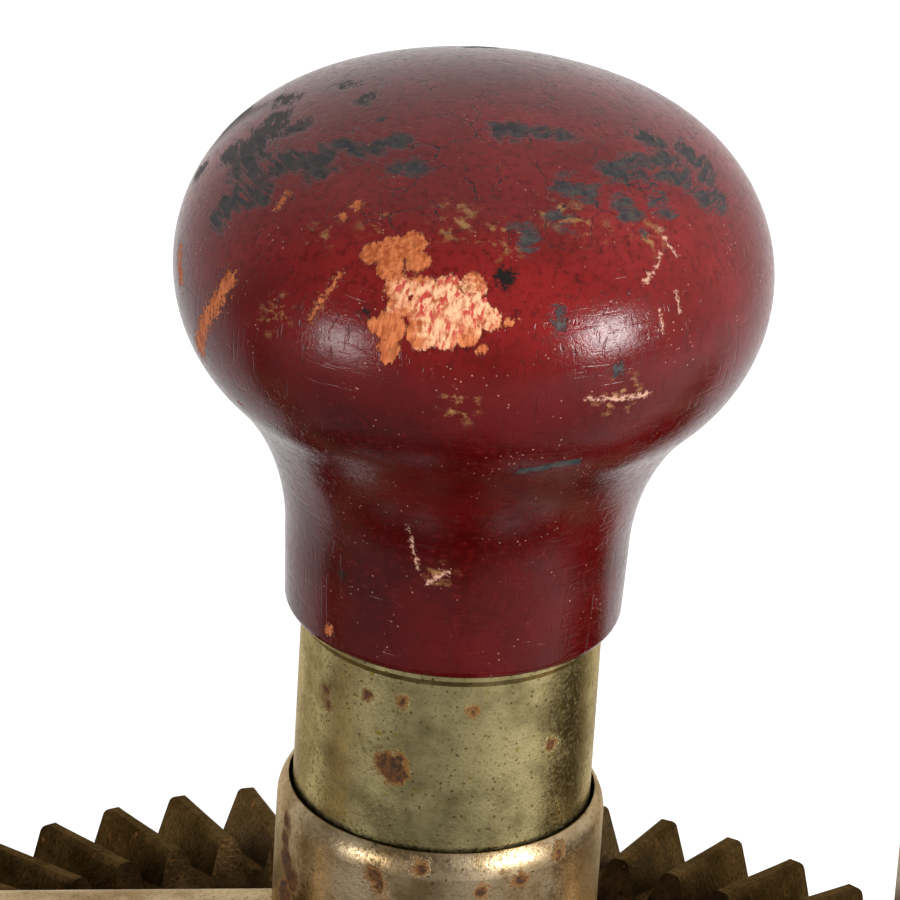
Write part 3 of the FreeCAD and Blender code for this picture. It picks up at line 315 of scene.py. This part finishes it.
class Finish:
    """A node material, built up from masks, colours and heights. Lengths are in millimetres."""

    def __init__(self, name):
        self.material = bpy.data.materials.new(name)
        self.material.use_nodes = True
        self.tree = self.material.node_tree
        self.shader = self.tree.nodes["Principled BSDF"]
        self.place = scaled(self.tree, self.add("ShaderNodeTexCoord").outputs["Object"], 1 / MM)

    def add(self, kind, inputs=None, **settings):
        return add_node(self.tree, kind, inputs, **settings)

    def calc(self, operation, *values):
        return calc(self.tree, operation, *values)

    def step(self, value, low, high):
        return soft_step(self.tree, value, low, high)

    def mix(self, mask, under, over):
        return mixed_colour(self.tree, mask, under, over)

    def times(self, value, factor):
        return self.calc("MULTIPLY", value, factor)

    def stretched(self, size, stretch, shift):
        """The place on the part, in units of a pattern of this size."""
        scale = [1 / (size * s) for s in stretch]
        inputs = {"Vector": self.place, "Scale": scale, "Location": shift}
        return self.add("ShaderNodeMapping", inputs).outputs[0]

    def noise(self, size, stretch=(1, 1, 1), shift=(0, 0, 0), detail=4, roughness=0.6):
        where = self.stretched(size, stretch, shift)
        inputs = {"Vector": where, "Scale": 1, "Detail": detail, "Roughness": roughness}
        return self.add("ShaderNodeTexNoise", inputs).outputs["Fac"]

    def cells(self, size, stretch=(1, 1, 1), shift=(0, 0, 0), feature="F1", warp=0):
        """The distance in a pattern of cells. A warp bends the pattern."""
        where = self.stretched(size, stretch, shift)
        if warp:
            bend = self.add("ShaderNodeTexNoise", {"Vector": where, "Scale": 2.5, "Detail": 3})
            where = vector_calc(self.tree, "ADD", where, scaled(self.tree, bend.outputs["Color"], warp))
        inputs = {"Vector": where, "Scale": 1}
        return self.add("ShaderNodeTexVoronoi", inputs, feature=feature).outputs["Distance"]

    def part_of(self, axis):
        return self.add("ShaderNodeSeparateXYZ", {0: self.place}).outputs[axis]

    def joined(self, operation, values):
        """One value from several, taken together two at a time."""
        result = values[0]
        for value in values[1:]:
            result = self.calc(operation, result, value)
        return result

    def both(self, *masks):
        return self.joined("MULTIPLY", masks)

    def either(self, *masks):
        return self.joined("MAXIMUM", masks)

    def total(self, *parts):
        """The sum of values, each times its factor."""
        result = 0.0
        for value, factor in parts:
            result = self.calc("MULTIPLY_ADD", value, factor, result)
        return result

    def depth(self, node, circles):
        """How far the surface is outside circles drawn on the photograph."""
        edges = []
        for across, down, radius in circles:
            centre = seen_on(node, across, down)[0] / MM
            reach = vector_calc(self.tree, "DISTANCE", self.place, centre)
            edges.append(self.calc("SUBTRACT", reach, radius * PIXEL_MM))
        return self.joined("MINIMUM", edges)

    def along(self, node, strokes):
        """How far the surface is outside lines drawn on the photograph."""
        edges = []
        for points, half_width in strokes:
            places = [seen_on(node, *point)[0] / MM for point in points]
            for start, end in zip(places, places[1:]):
                length = (end - start).length
                way = (end - start) / length
                offset = vector_calc(self.tree, "SUBTRACT", self.place, start)
                travel = vector_calc(self.tree, "DOT_PRODUCT", offset, way)
                travel = self.calc("MINIMUM", self.calc("MAXIMUM", travel, 0.0), length)
                reach = vector_calc(self.tree, "DISTANCE", offset, scaled(self.tree, way, travel))
                edges.append(self.calc("SUBTRACT", reach, half_width * PIXEL_MM))
        return self.joined("MINIMUM", edges)

    def ragged(self, depth, noise, wander, edge, grow=0):
        """A mask where a depth is below zero, grown by so much, whose edge wanders with a noise."""
        shift = self.calc("MULTIPLY_ADD", noise, 2 * wander, -wander - grow)
        return self.step(self.calc("ADD", depth, shift), edge, -edge)

    def finish(self, colour, roughness, height, metallic=0, specular=0.5, edge=WHITE):
        """Feeds the shader. The edge is the tint of what it mirrors at a slant."""
        bump = self.add("ShaderNodeBump", {"Height": height, "Strength": 1.0, "Distance": MM})
        inputs = {"Base Color": colour, "Roughness": roughness, "Normal": bump.outputs[0],
                  "Metallic": metallic, "Specular IOR Level": specular, "Specular Tint": edge}
        for name, value in inputs.items():
            feed(self.tree, self.shader.inputs[name], value)
        return self.material


# The masks of what has happened to a lacquer. The last one is faded patches, and on the side knob a painted
# lightening towards its top
Wear = namedtuple("Wear", "bare residue old_paint spots smudge pale crackled faded")


def near_top(f, band):
    """A mask that starts and is full at two heights below the top of the side knob."""
    start, full = band
    return f.step(f.part_of(2), KNOB_TOP - start, KNOB_TOP - full)


def side_knob_wear(f):
    """The marks that the photograph shows on the front of the side knob, and scattered ones behind."""
    node = "side_knob"
    fibres = f.noise(0.7, (0.7, 0.7, 1.8), detail=8, roughness=0.75)
    streaks = f.noise(0.8, (3.2, 3.2, 0.7), detail=8, roughness=0.75)
    flecks = f.noise(0.3, detail=5, roughness=0.75)
    behind = f.step(f.part_of(1), 2, 7)
    far_chips = f.both(behind, f.step(f.noise(9, shift=(3, 3, 3), detail=7), 0.66, 0.67))
    far_paint = f.both(behind, f.step(f.noise(8, (1.5, 1.5, 0.8), detail=7), 0.58, 0.61))
    far_smudge = f.both(behind, f.step(f.noise(6), 0.55, 0.65))
    top_smudge = f.both(near_top(f, SMUDGED_BAND), f.step(f.part_of(1), 3, 9))
    long_chips = f.along(node, LONG_CHIPS)
    chip_rim = f.both(f.ragged(long_chips, flecks, 2.2, 0.1, 0.3), f.step(streaks, 0.45, 0.55))
    scraped = f.step(f.noise(0.45, (6, 6, 0.6), shift=(5, 5, 0), detail=5, roughness=0.7), 0.36, 0.48)
    return Wear(
        bare=f.either(f.ragged(f.depth(node, BIG_CHIP), fibres, 0.8, 0.05, 0.05),
                      f.ragged(long_chips, flecks, 2.2, 0.06, 0.1),
                      f.ragged(f.along(node, THIN_CHIPS), flecks, 1.1, 0.08, 0.08),
                      f.ragged(f.depth(node, SMALL_CHIPS), flecks, 0.9, 0.1, 0.05), far_chips),
        residue=f.ragged(f.depth(node, CHIP_RESIDUE), streaks, 2.0, 0.5, 0.3),
        old_paint=f.either(f.both(f.ragged(f.depth(node, HIGH_OLD_PAINT), streaks, 2.4, 0.35, 0.5), scraped),
                           f.ragged(f.depth(node, LOW_OLD_PAINT), flecks, 1.2, 0.2, 0.1),
                           f.ragged(f.along(node, LONG_OLD_PAINT), streaks, 0.8, 0.2), far_paint),
        spots=f.either(f.ragged(f.depth(node, DARK_SPOTS), flecks, 1.3, 0.25, 0.05), chip_rim),
        smudge=f.either(top_smudge, f.ragged(f.depth(node, SMUDGES), streaks, 1.0, 0.8), far_smudge),
        pale=f.ragged(f.along(node, PALE_SCRATCHES), flecks, 0.8, 0.12, -0.02),
        crackled=near_top(f, CRACKLED_BAND),
        # Painted light: the lacquer is made lighter towards the top, where light falls from above
        faded=near_top(f, PAINTED_LIGHT_BAND))


def handle_wear(f):
    """Chips, worn-through patches and crazing strewn over a grip."""
    return Wear(
        bare=f.step(f.noise(9, shift=(8, 1, 4), detail=7), 0.66, 0.67),
        residue=f.step(f.noise(4), 0.45, 0.6),
        old_paint=f.step(f.noise(8, (1.4, 1, 1), shift=(1, 6, 2), detail=7), 0.6, 0.63),
        spots=f.step(f.noise(3, shift=(5, 0, 0)), 0.72, 0.76),
        smudge=f.step(f.noise(6, shift=(0, 4, 0)), 0.52, 0.66),
        pale=f.both(f.step(f.noise(0.4, (9, 1, 1)), 0.7, 0.74), f.step(f.noise(4), 0.5, 0.6)),
        crackled=f.step(f.noise(12, shift=(2, 2, 2)), 0.5, 0.6),
        faded=f.step(f.noise(20, shift=(1, 2, 3)), 0.4, 0.65))


def aged_maroon(f, wear, mottle, brush, cracks):
    """The lacquer's colour, deep or faded, and painted lighter towards the side knob's top as light from
    above would make it, with dust, smudges, cracks and scratches.
    """
    cloud = f.step(f.noise(7, detail=3), 0.3, 0.7)
    deep = f.mix(cloud, DEEP_MAROON, MAROON)
    # Paler lacquer where faded, and painted light towards the side knob's top
    colour = f.mix(wear.faded, deep, f.mix(cloud, FADED_AND_LIT_MAROON, FADED_AND_LIT_RED))
    colour = f.mix(f.step(mottle, 0.45, 0.8), colour, MOTTLED_MAROON)
    brushed = f.both(f.step(brush, 0.55, 0.75), f.step(mottle, 0.3, 0.7))
    colour = f.mix(brushed, colour, BRUSHED_MAROON)
    dust = f.both(f.step(f.cells(0.45), 0.16, 0.08), f.step(f.noise(2.5, shift=(9, 2, 0)), 0.5, 0.62))
    colour = f.mix(dust, colour, DUST)
    speck = f.both(wear.smudge, f.step(f.noise(0.6, (1.4, 1.4, 1), shift=(0, 7, 0)), 0.5, 0.68))
    colour = f.mix(speck, colour, SMUDGE)
    colour = f.mix(cracks, colour, CRACK)
    return f.mix(wear.pale, colour, SCRATCH)


def bare_wood(f, residue, grain):
    """The wood's colour, paler and stained red where the lacquer has left a residue."""
    wood = f.mix(f.step(grain, 0.35, 0.65), DARK_WOOD, WOOD)
    wood = f.mix(f.both(residue, f.step(grain, 0.3, 0.6)), wood, PALE_WOOD)
    stains = f.both(residue, f.step(f.noise(0.4, (1, 1, 4), shift=(4, 1, 0)), 0.5, 0.6))
    wood = f.mix(stains, wood, STAINED_WOOD)
    return f.mix(f.step(f.noise(1.4, shift=(6, 0, 2)), 0.58, 0.72), wood, BROWN_WOOD)


def lacquer(name, marks):
    """Maroon lacquer over a dark green older coat over bare wood. Marks gives the masks of its wear, and on
    the side knob of the light painted on its top.
    """
    f = Finish(name)
    wear = marks(f)
    mottle = f.noise(0.5, detail=3)
    brush = f.noise(0.35, (1, 1, 12), detail=2)
    across = f.noise(0.3, (10, 10, 1), shift=(3, 0, 0), detail=2)
    grain = f.noise(0.28, (1, 1, 9), shift=(2, 2, 0), detail=5)
    uneven = f.either(mottle, f.noise(0.18, shift=(7, 7, 0), detail=3))
    net = f.step(f.cells(2.0, (1.4, 1.4, 0.9), feature="DISTANCE_TO_EDGE", warp=0.5), 0.016, 0.006)
    cracks = f.both(wear.crackled, net, f.step(f.noise(2.4, shift=(1, 5, 3)), 0.46, 0.56))
    colour = aged_maroon(f, wear, mottle, brush, cracks)
    green = f.mix(f.step(mottle, 0.35, 0.7), OLD_GREEN, OLD_GREY)
    colour = f.mix(f.times(wear.old_paint, OLD_PAINT_COVER), colour, green)
    colour = f.mix(wear.spots, colour, BLACK_SPOT)
    colour = f.mix(wear.bare, colour, bare_wood(f, wear.residue, grain))
    gloss = f.calc("MULTIPLY_ADD", f.step(mottle, 0.3, 0.8), 0.16, 0.13)
    dull = f.either(f.both(wear.old_paint, f.step(mottle, 0, 0.1)), wear.bare)
    roughness = f.either(gloss, f.times(dull, 0.62))
    height = f.total((wear.bare, -CHIP_DEPTH), (wear.old_paint, -OLD_PAINT_DEPTH), (cracks, -CRACK_DEPTH),
                     (f.step(across, 0.58, 0.72), -SCRATCH_DEPTH),
                     (f.step(brush, 0.58, 0.72), -SCRATCH_DEPTH),
                     (uneven, UNEVEN_HEIGHT), (f.both(wear.bare, grain), GRAIN_HEIGHT))
    return f.finish(colour, roughness, height, specular=LACQUER_SPECULAR)


def rust_spots(f, node, circles, size, wander):
    """The masks of an orange-brown halo and a dark core, round circles drawn on the photograph."""
    depth = f.depth(node, circles)
    noise = f.noise(size, detail=7, roughness=0.75)
    return f.ragged(depth, noise, wander, 0.15, 0.3), f.ragged(depth, noise, wander, 0.12, 0.08)


def ferrule_rust(f):
    return rust_spots(f, "side_knob_ferrule", FERRULE_RUST, 0.5, 1.0)


def cup_rust(f):
    return rust_spots(f, "frame", CUP_RUST, 0.7, 1.2)


def little_rust(f):
    noise = f.noise(2.5, shift=(0, 3, 0), detail=6)
    return f.step(noise, 0.68, 0.73), f.step(noise, 0.71, 0.75)


def plated(name, bright, dull, tarnish, rust, spread, gloss):
    """Old plating with a tarnish that varies, specks, pits and rust. Spread bounds where the specks lie."""
    f = Finish(name)
    pits = f.noise(0.25, detail=3)
    colour = f.mix(f.step(f.noise(4, detail=4), 0.35, 0.65), dull, bright)
    colour = f.mix(f.step(pits, 0.5, 0.72), colour, dull)
    stain = f.step(f.noise(0.9, shift=(4, 4, 4), detail=5), 0.62, 0.7)
    colour = f.mix(f.times(stain, 0.7), colour, tarnish)
    dots = f.step(f.cells(0.5, shift=(3, 1, 2), warp=0.5), 0.26, 0.12)
    specks = f.both(dots, f.step(f.noise(2, shift=(1, 1, 9)), *spread))
    colour = f.mix(f.times(specks, 0.8), colour, RUST_SPECK)
    halo, core = rust(f)
    colour = f.mix(f.times(halo, 0.85), colour, RUST_HALO)
    brown = f.mix(f.step(f.noise(0.4, detail=4), 0.35, 0.65), DARK_RUST, BROWN_RUST)
    colour = f.mix(core, colour, brown)
    rusty = f.either(f.times(halo, 0.8), core)
    rough = f.either(rusty, f.times(f.step(pits, 0.4, 0.8), 0.6))
    roughness = f.calc("MULTIPLY_ADD", rough, 0.5, gloss)
    fine = f.noise(0.12, shift=(2, 0, 0), detail=2)
    height = f.total((rusty, 0.05), (pits, 0.02), (fine, 0.004))
    metal = f.calc("SUBTRACT", 1.0, rusty)
    return f.finish(colour, roughness, height, metallic=metal, edge=PLATING_EDGE)


def oily_iron(name):
    """Dark oiled iron, blackened and rusty in patches."""
    f = Finish(name)
    cloud = f.noise(3, detail=5)
    fine = f.noise(0.3, detail=4)
    colour = f.mix(f.step(cloud, 0.3, 0.7), DARK_IRON, IRON)
    colour = f.mix(f.step(fine, 0.55, 0.75), colour, BLACK_IRON)
    colour = f.mix(f.step(f.noise(1.2, shift=(3, 2, 1), detail=5), 0.62, 0.72), colour, RUSTY_IRON)
    roughness = f.calc("MULTIPLY_ADD", f.step(fine, 0.3, 0.7), 0.2, 0.38)
    height = f.total((fine, 0.05), (cloud, 0.05))
    return f.finish(colour, roughness, height, metallic=1, edge=IRON_EDGE)


def bright_steel(name):
    """Turned steel with fine rings and a little tarnish."""
    f = Finish(name)
    cloud = f.noise(2.5, detail=5)
    fine = f.noise(0.15, (8, 8, 1), detail=2)
    colour = f.mix(f.step(cloud, 0.35, 0.7), DULL_STEEL, STEEL)
    colour = f.mix(f.step(f.noise(0.8, shift=(2, 6, 1), detail=5), 0.64, 0.74), colour, STEEL_TARNISH)
    roughness = f.calc("MULTIPLY_ADD", f.step(fine, 0.3, 0.7), 0.12, 0.24)
    return f.finish(colour, roughness, f.times(fine, 0.01), metallic=1)


def nickel(name, rust):
    return plated(name, NICKEL, DULL_NICKEL, NICKEL_STAIN, rust, (0.45, 0.6), 0.3)


def ferrule_plate(name):
    return plated(name, FERRULE, DULL_FERRULE, FERRULE_STAIN, ferrule_rust, (0.36, 0.55), 0.28)


def chuck_nickel(name):
    return plated(name, CHUCK, DULL_CHUCK, NICKEL_STAIN, little_rust, (0.55, 0.7), 0.22)


def dress():
    """Each node takes the finish of its slot, but the side knob and the frame have marks of their own."""
    finishes = {
        "worn_nickel": nickel("worn_nickel", little_rust),
        "red_lacquered_wood": lacquer("red_lacquered_wood", handle_wear),
        "ferrule_plate": ferrule_plate("ferrule_plate"),
        "gear_iron": oily_iron("gear_iron"),
        "chuck_nickel": chuck_nickel("chuck_nickel"),
        "bright_steel": bright_steel("bright_steel"),
    }
    own = {
        "side_knob": lacquer("side_knob_lacquer", side_knob_wear),
        "frame": nickel("frame_nickel", cup_rust),
    }
    for entry in frame["record"]["subparts"]:
        node = NODES[entry["node"]]
        node.data.materials.clear()
        node.data.materials.append(own.get(entry["node"], finishes[entry["material_slot"]]))


def add_knurl():
    """A band of small pyramids round the chuck sleeve, for the hand to grip."""
    low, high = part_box("chuck_sleeve")
    start, end, radius = low.x + KNURL_REAR, high.x - KNURL_FRONT, high.y
    columns = KNURL_TEETH * KNURL_STEPS
    pitch = 2 * math.pi * radius / KNURL_TEETH
    rows = round((end - start) / pitch * KNURL_STEPS)

    def saw(turns):
        return 1 - 2 * abs(turns % 1 - 0.5)

    def ring(x, lift):
        points = []
        for column in range(columns):
            angle = 2 * math.pi * column / columns
            reach = radius + lift(column / KNURL_STEPS)
            points.append((x, reach * math.cos(angle), reach * math.sin(angle)))
        return points

    rings = []
    for row in range(rows + 1):
        x = start + (end - start) * row / rows
        along = row / KNURL_STEPS
        rings.append(ring(x, lambda turn: KNURL_HEIGHT * min(saw(turn + along), saw(turn - along))))
    rings.append(ring(end, lambda turn: -KNURL_DEPTH))
    rings.append(ring(start, lambda turn: -KNURL_DEPTH))

    def corner(row, column):
        return row % len(rings) * columns + column % columns

    faces = []
    for row in range(len(rings)):
        for column in range(columns):
            faces.append((corner(row, column), corner(row, column + 1),
                          corner(row + 1, column + 1), corner(row + 1, column)))
    mesh = bpy.data.meshes.new("sleeve_knurl")
    mesh.from_pydata([point for points in rings for point in points], [], faces)
    mesh.materials.append(NODES["chuck_sleeve"].data.materials[0])
    knurl = bpy.data.objects.new("sleeve_knurl", mesh)
    bpy.context.scene.collection.objects.link(knurl)
    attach(knurl, "chuck_sleeve")


def add_lamp(name, pixel, size, power):
    """A soft square lamp that the lacquer mirrors at a pixel of the photograph."""
    place, normal = seen_on("side_knob", *pixel)
    to_camera = (VIEW_PLACE - place).normalized()
    mirrored = 2 * to_camera.dot(normal) * normal - to_camera
    lamp = bpy.data.lights.new(name, "AREA")
    lamp.size = size
    lamp.energy = power
    holder = bpy.data.objects.new(name, lamp)
    bpy.context.scene.collection.objects.link(holder)
    holder.location = place + LAMP_DISTANCE * mirrored
    holder.rotation_euler = (-mirrored).to_track_quat("-Z", "Y").to_euler()


def ray_kinds(tree):
    """1 for a ray from the camera, and 1 for a ray from a mirror or glass."""
    path = add_node(tree, "ShaderNodeLightPath").outputs
    return path["Is Camera Ray"], calc(tree, "MAXIMUM", path["Is Glossy Ray"], path["Is Transmission Ray"])


def behind_drill(tree, offset, start, end):
    """0 in front of the drill, where the room is dimmer, and 1 behind it."""
    return soft_step(tree, vector_calc(tree, "DOT_PRODUCT", offset, WHITE_SIDE), start, end)


def floor_white():
    """White to the camera, with the drill's shadow. In mirrors it is dimmer in front of the drill."""
    white = bpy.data.materials.new("floor_white")
    white.use_nodes = True
    tree = white.node_tree
    place = add_node(tree, "ShaderNodeTexCoord").outputs["Object"]
    offset = vector_calc(tree, "SUBTRACT", place, GEAR_AXIS)
    camera, mirror = ray_kinds(tree)
    mirrored = calc(tree, "MULTIPLY", mirror, behind_drill(tree, offset, FLOOR_START, FLOOR_END))
    lift = calc(tree, "MULTIPLY", calc(tree, "MAXIMUM", camera, mirrored), FLOOR_LIFT)
    inputs = {"Base Color": mixed_colour(tree, camera, FLOOR_GREY, FLOOR_PALE),
              "Roughness": FLOOR_ROUGHNESS, "Emission Color": WHITE, "Emission Strength": lift}
    for name, value in inputs.items():
        feed(tree, tree.nodes["Principled BSDF"].inputs[name], value)
    return white


def make_floor():
    """A wide square under the drill."""
    low = CAD_BOX[0].z
    mesh = bpy.data.meshes.new("floor")
    corners = [(-FLOOR_REACH, -FLOOR_REACH, low), (FLOOR_REACH, -FLOOR_REACH, low),
               (FLOOR_REACH, FLOOR_REACH, low), (-FLOOR_REACH, FLOOR_REACH, low)]
    mesh.from_pydata(corners, [], [(0, 1, 2, 3)])
    mesh.materials.append(floor_white())
    floor = bpy.data.objects.new("floor", mesh)
    bpy.context.scene.collection.objects.link(floor)


def make_surround():
    """A room that is white to the camera, dimmer in mirrors in front of the drill, and soft as a light."""
    world = bpy.data.worlds.new("surround")
    world.use_nodes = True
    tree = world.node_tree
    way = add_node(tree, "ShaderNodeTexCoord").outputs["Generated"]
    camera, mirror = ray_kinds(tree)
    behind = behind_drill(tree, way, ROOM_START, ROOM_END)
    mirrored = calc(tree, "MULTIPLY_ADD", behind, 1 - ROOM_LIGHT, ROOM_LIGHT)
    lit = add_node(tree, "ShaderNodeMix", {0: mirror, 2: SKY_LIGHT, 3: mirrored}).outputs[0]
    feed(tree, tree.nodes["Background"].inputs["Color"], WHITE)
    feed(tree, tree.nodes["Background"].inputs["Strength"], calc(tree, "MAXIMUM", camera, lit))
    bpy.context.scene.world = world


bpy.context.scene.view_settings.view_transform = "Standard"
make_camera()
dress()
add_knurl()
make_floor()
make_surround()
add_lamp("left_lamp", LEFT_HIGHLIGHT, LEFT_LAMP_SIZE, LEFT_LAMP_POWER)
add_lamp("right_lamp", RIGHT_HIGHLIGHT, RIGHT_LAMP_SIZE, RIGHT_LAMP_POWER)
